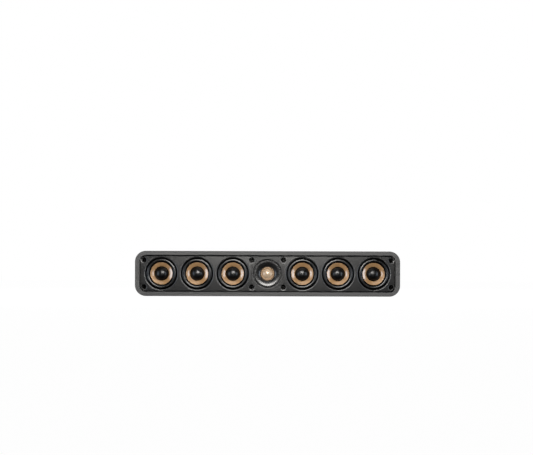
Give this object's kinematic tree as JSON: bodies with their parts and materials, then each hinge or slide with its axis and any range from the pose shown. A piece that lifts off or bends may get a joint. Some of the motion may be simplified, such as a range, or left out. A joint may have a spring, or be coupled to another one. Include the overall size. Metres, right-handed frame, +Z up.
{
  "type": "center channel speaker",
  "caption": "Slim horizontal loudspeaker with rounded ends, gold-coned woofers either side of a dome tweeter, and ports, binding posts and keyholes at the back.",
  "frame": {"origin": "middle of the flat base, under the middle of the cabinet", "axes": "+X to the right as the listener sees it, -Y out of the front, +Z up"},
  "size_m": [0.61, 0.15, 0.104],
  "materials": {
    "cabinet_wrap": "satin",
    "back_board": "satin",
    "front_trim": "satin",
    "dark_screw": "satin",
    "waveguide": "satin",
    "gold_cloth": "satin",
    "motor_steel": "satin",
    "black_plastic": "satin",
    "gilt_metal": "polished",
    "red_plastic": "gloss",
    "cap_plastic": "gloss",
    "zinc_plate": "satin",
    "fibre_board": "matte",
    "copper_wire": "satin",
    "capacitor_film": "gloss",
    "lead_sheath": "satin",
    "wadding": "matte",
    "black_steel": "satin",
    "edge_rubber": "satin",
    "gold_cone": "satin",
    "cap_gloss": "gloss",
    "spider_cloth": "matte"
  },
  "bodies": {
    "cabinet": {"cabinet_shell": "cabinet_wrap", "baffle_board": "back_board", "rear_panel": "back_board", "left_trim": "front_trim", "center_trim": "front_trim", "right_trim": "front_trim", "trim_screws": "dark_screw", "wood_screws": "dark_screw", "tweeter_faceplate": "waveguide", "tweeter_dome": "gold_cloth", "tweeter_motor": "motor_steel", "left_port": "black_plastic", "right_port": "black_plastic", "terminal_cup": "black_plastic", "binding_posts": "gilt_metal", "hanger_plates": "zinc_plate", "crossover_board": "fibre_board", "crossover_coils": "copper_wire", "crossover_capacitors": "capacitor_film", "wiring": "lead_sheath", "wadding": "wadding", "woofer_motors": "motor_steel", "woofer_1_basket": "black_steel", "woofer_1_surround": "edge_rubber", "woofer_1_spider": "spider_cloth", "woofer_2_basket": "black_steel", "woofer_2_surround": "edge_rubber", "woofer_2_spider": "spider_cloth", "woofer_3_basket": "black_steel", "woofer_3_surround": "edge_rubber", "woofer_3_spider": "spider_cloth", "woofer_4_basket": "black_steel", "woofer_4_surround": "edge_rubber", "woofer_4_spider": "spider_cloth", "woofer_5_basket": "black_steel", "woofer_5_surround": "edge_rubber", "woofer_5_spider": "spider_cloth", "woofer_6_basket": "black_steel", "woofer_6_surround": "edge_rubber", "woofer_6_spider": "spider_cloth"},
    "woofer_1_diaphragm": {"woofer_1_cone": "gold_cone", "woofer_1_dust_cap": "cap_gloss", "woofer_1_voice_coil": "copper_wire"},
    "woofer_2_diaphragm": {"woofer_2_cone": "gold_cone", "woofer_2_dust_cap": "cap_gloss", "woofer_2_voice_coil": "copper_wire"},
    "woofer_3_diaphragm": {"woofer_3_cone": "gold_cone", "woofer_3_dust_cap": "cap_gloss", "woofer_3_voice_coil": "copper_wire"},
    "woofer_4_diaphragm": {"woofer_4_cone": "gold_cone", "woofer_4_dust_cap": "cap_gloss", "woofer_4_voice_coil": "copper_wire"},
    "woofer_5_diaphragm": {"woofer_5_cone": "gold_cone", "woofer_5_dust_cap": "cap_gloss", "woofer_5_voice_coil": "copper_wire"},
    "woofer_6_diaphragm": {"woofer_6_cone": "gold_cone", "woofer_6_dust_cap": "cap_gloss", "woofer_6_voice_coil": "copper_wire"},
    "red_cap": {"red_post_cap": "red_plastic"},
    "black_cap": {"black_post_cap": "cap_plastic"}
  },
  "joints": [
    {"name": "woofer_1_stroke", "type": "slide", "parent": "cabinet", "child": "woofer_1_diaphragm", "axis": [0, -1, 0], "range_m": [-0.0025, 0.0025], "stiffness_N_per_m": 700, "deforming": ["woofer_1_surround", "woofer_1_spider"]},
    {"name": "woofer_2_stroke", "type": "slide", "parent": "cabinet", "child": "woofer_2_diaphragm", "axis": [0, -1, 0], "range_m": [-0.0025, 0.0025], "stiffness_N_per_m": 700, "deforming": ["woofer_2_surround", "woofer_2_spider"]},
    {"name": "woofer_3_stroke", "type": "slide", "parent": "cabinet", "child": "woofer_3_diaphragm", "axis": [0, -1, 0], "range_m": [-0.0025, 0.0025], "stiffness_N_per_m": 700, "deforming": ["woofer_3_surround", "woofer_3_spider"]},
    {"name": "woofer_4_stroke", "type": "slide", "parent": "cabinet", "child": "woofer_4_diaphragm", "axis": [0, -1, 0], "range_m": [-0.0025, 0.0025], "stiffness_N_per_m": 700, "deforming": ["woofer_4_surround", "woofer_4_spider"]},
    {"name": "woofer_5_stroke", "type": "slide", "parent": "cabinet", "child": "woofer_5_diaphragm", "axis": [0, -1, 0], "range_m": [-0.0025, 0.0025], "stiffness_N_per_m": 700, "deforming": ["woofer_5_surround", "woofer_5_spider"]},
    {"name": "woofer_6_stroke", "type": "slide", "parent": "cabinet", "child": "woofer_6_diaphragm", "axis": [0, -1, 0], "range_m": [-0.0025, 0.0025], "stiffness_N_per_m": 700, "deforming": ["woofer_6_surround", "woofer_6_spider"]},
    {"name": "red_cap_turn", "type": "hinge", "parent": "cabinet", "child": "red_cap", "pos_m": [-0.00953, 0.062, 0.052], "axis": [0, 1, 0], "range_deg": [0, 1260]},
    {"name": "black_cap_turn", "type": "hinge", "parent": "cabinet", "child": "black_cap", "pos_m": [0.00953, 0.062, 0.052], "axis": [0, 1, 0], "range_deg": [0, 1260]}
  ]
}
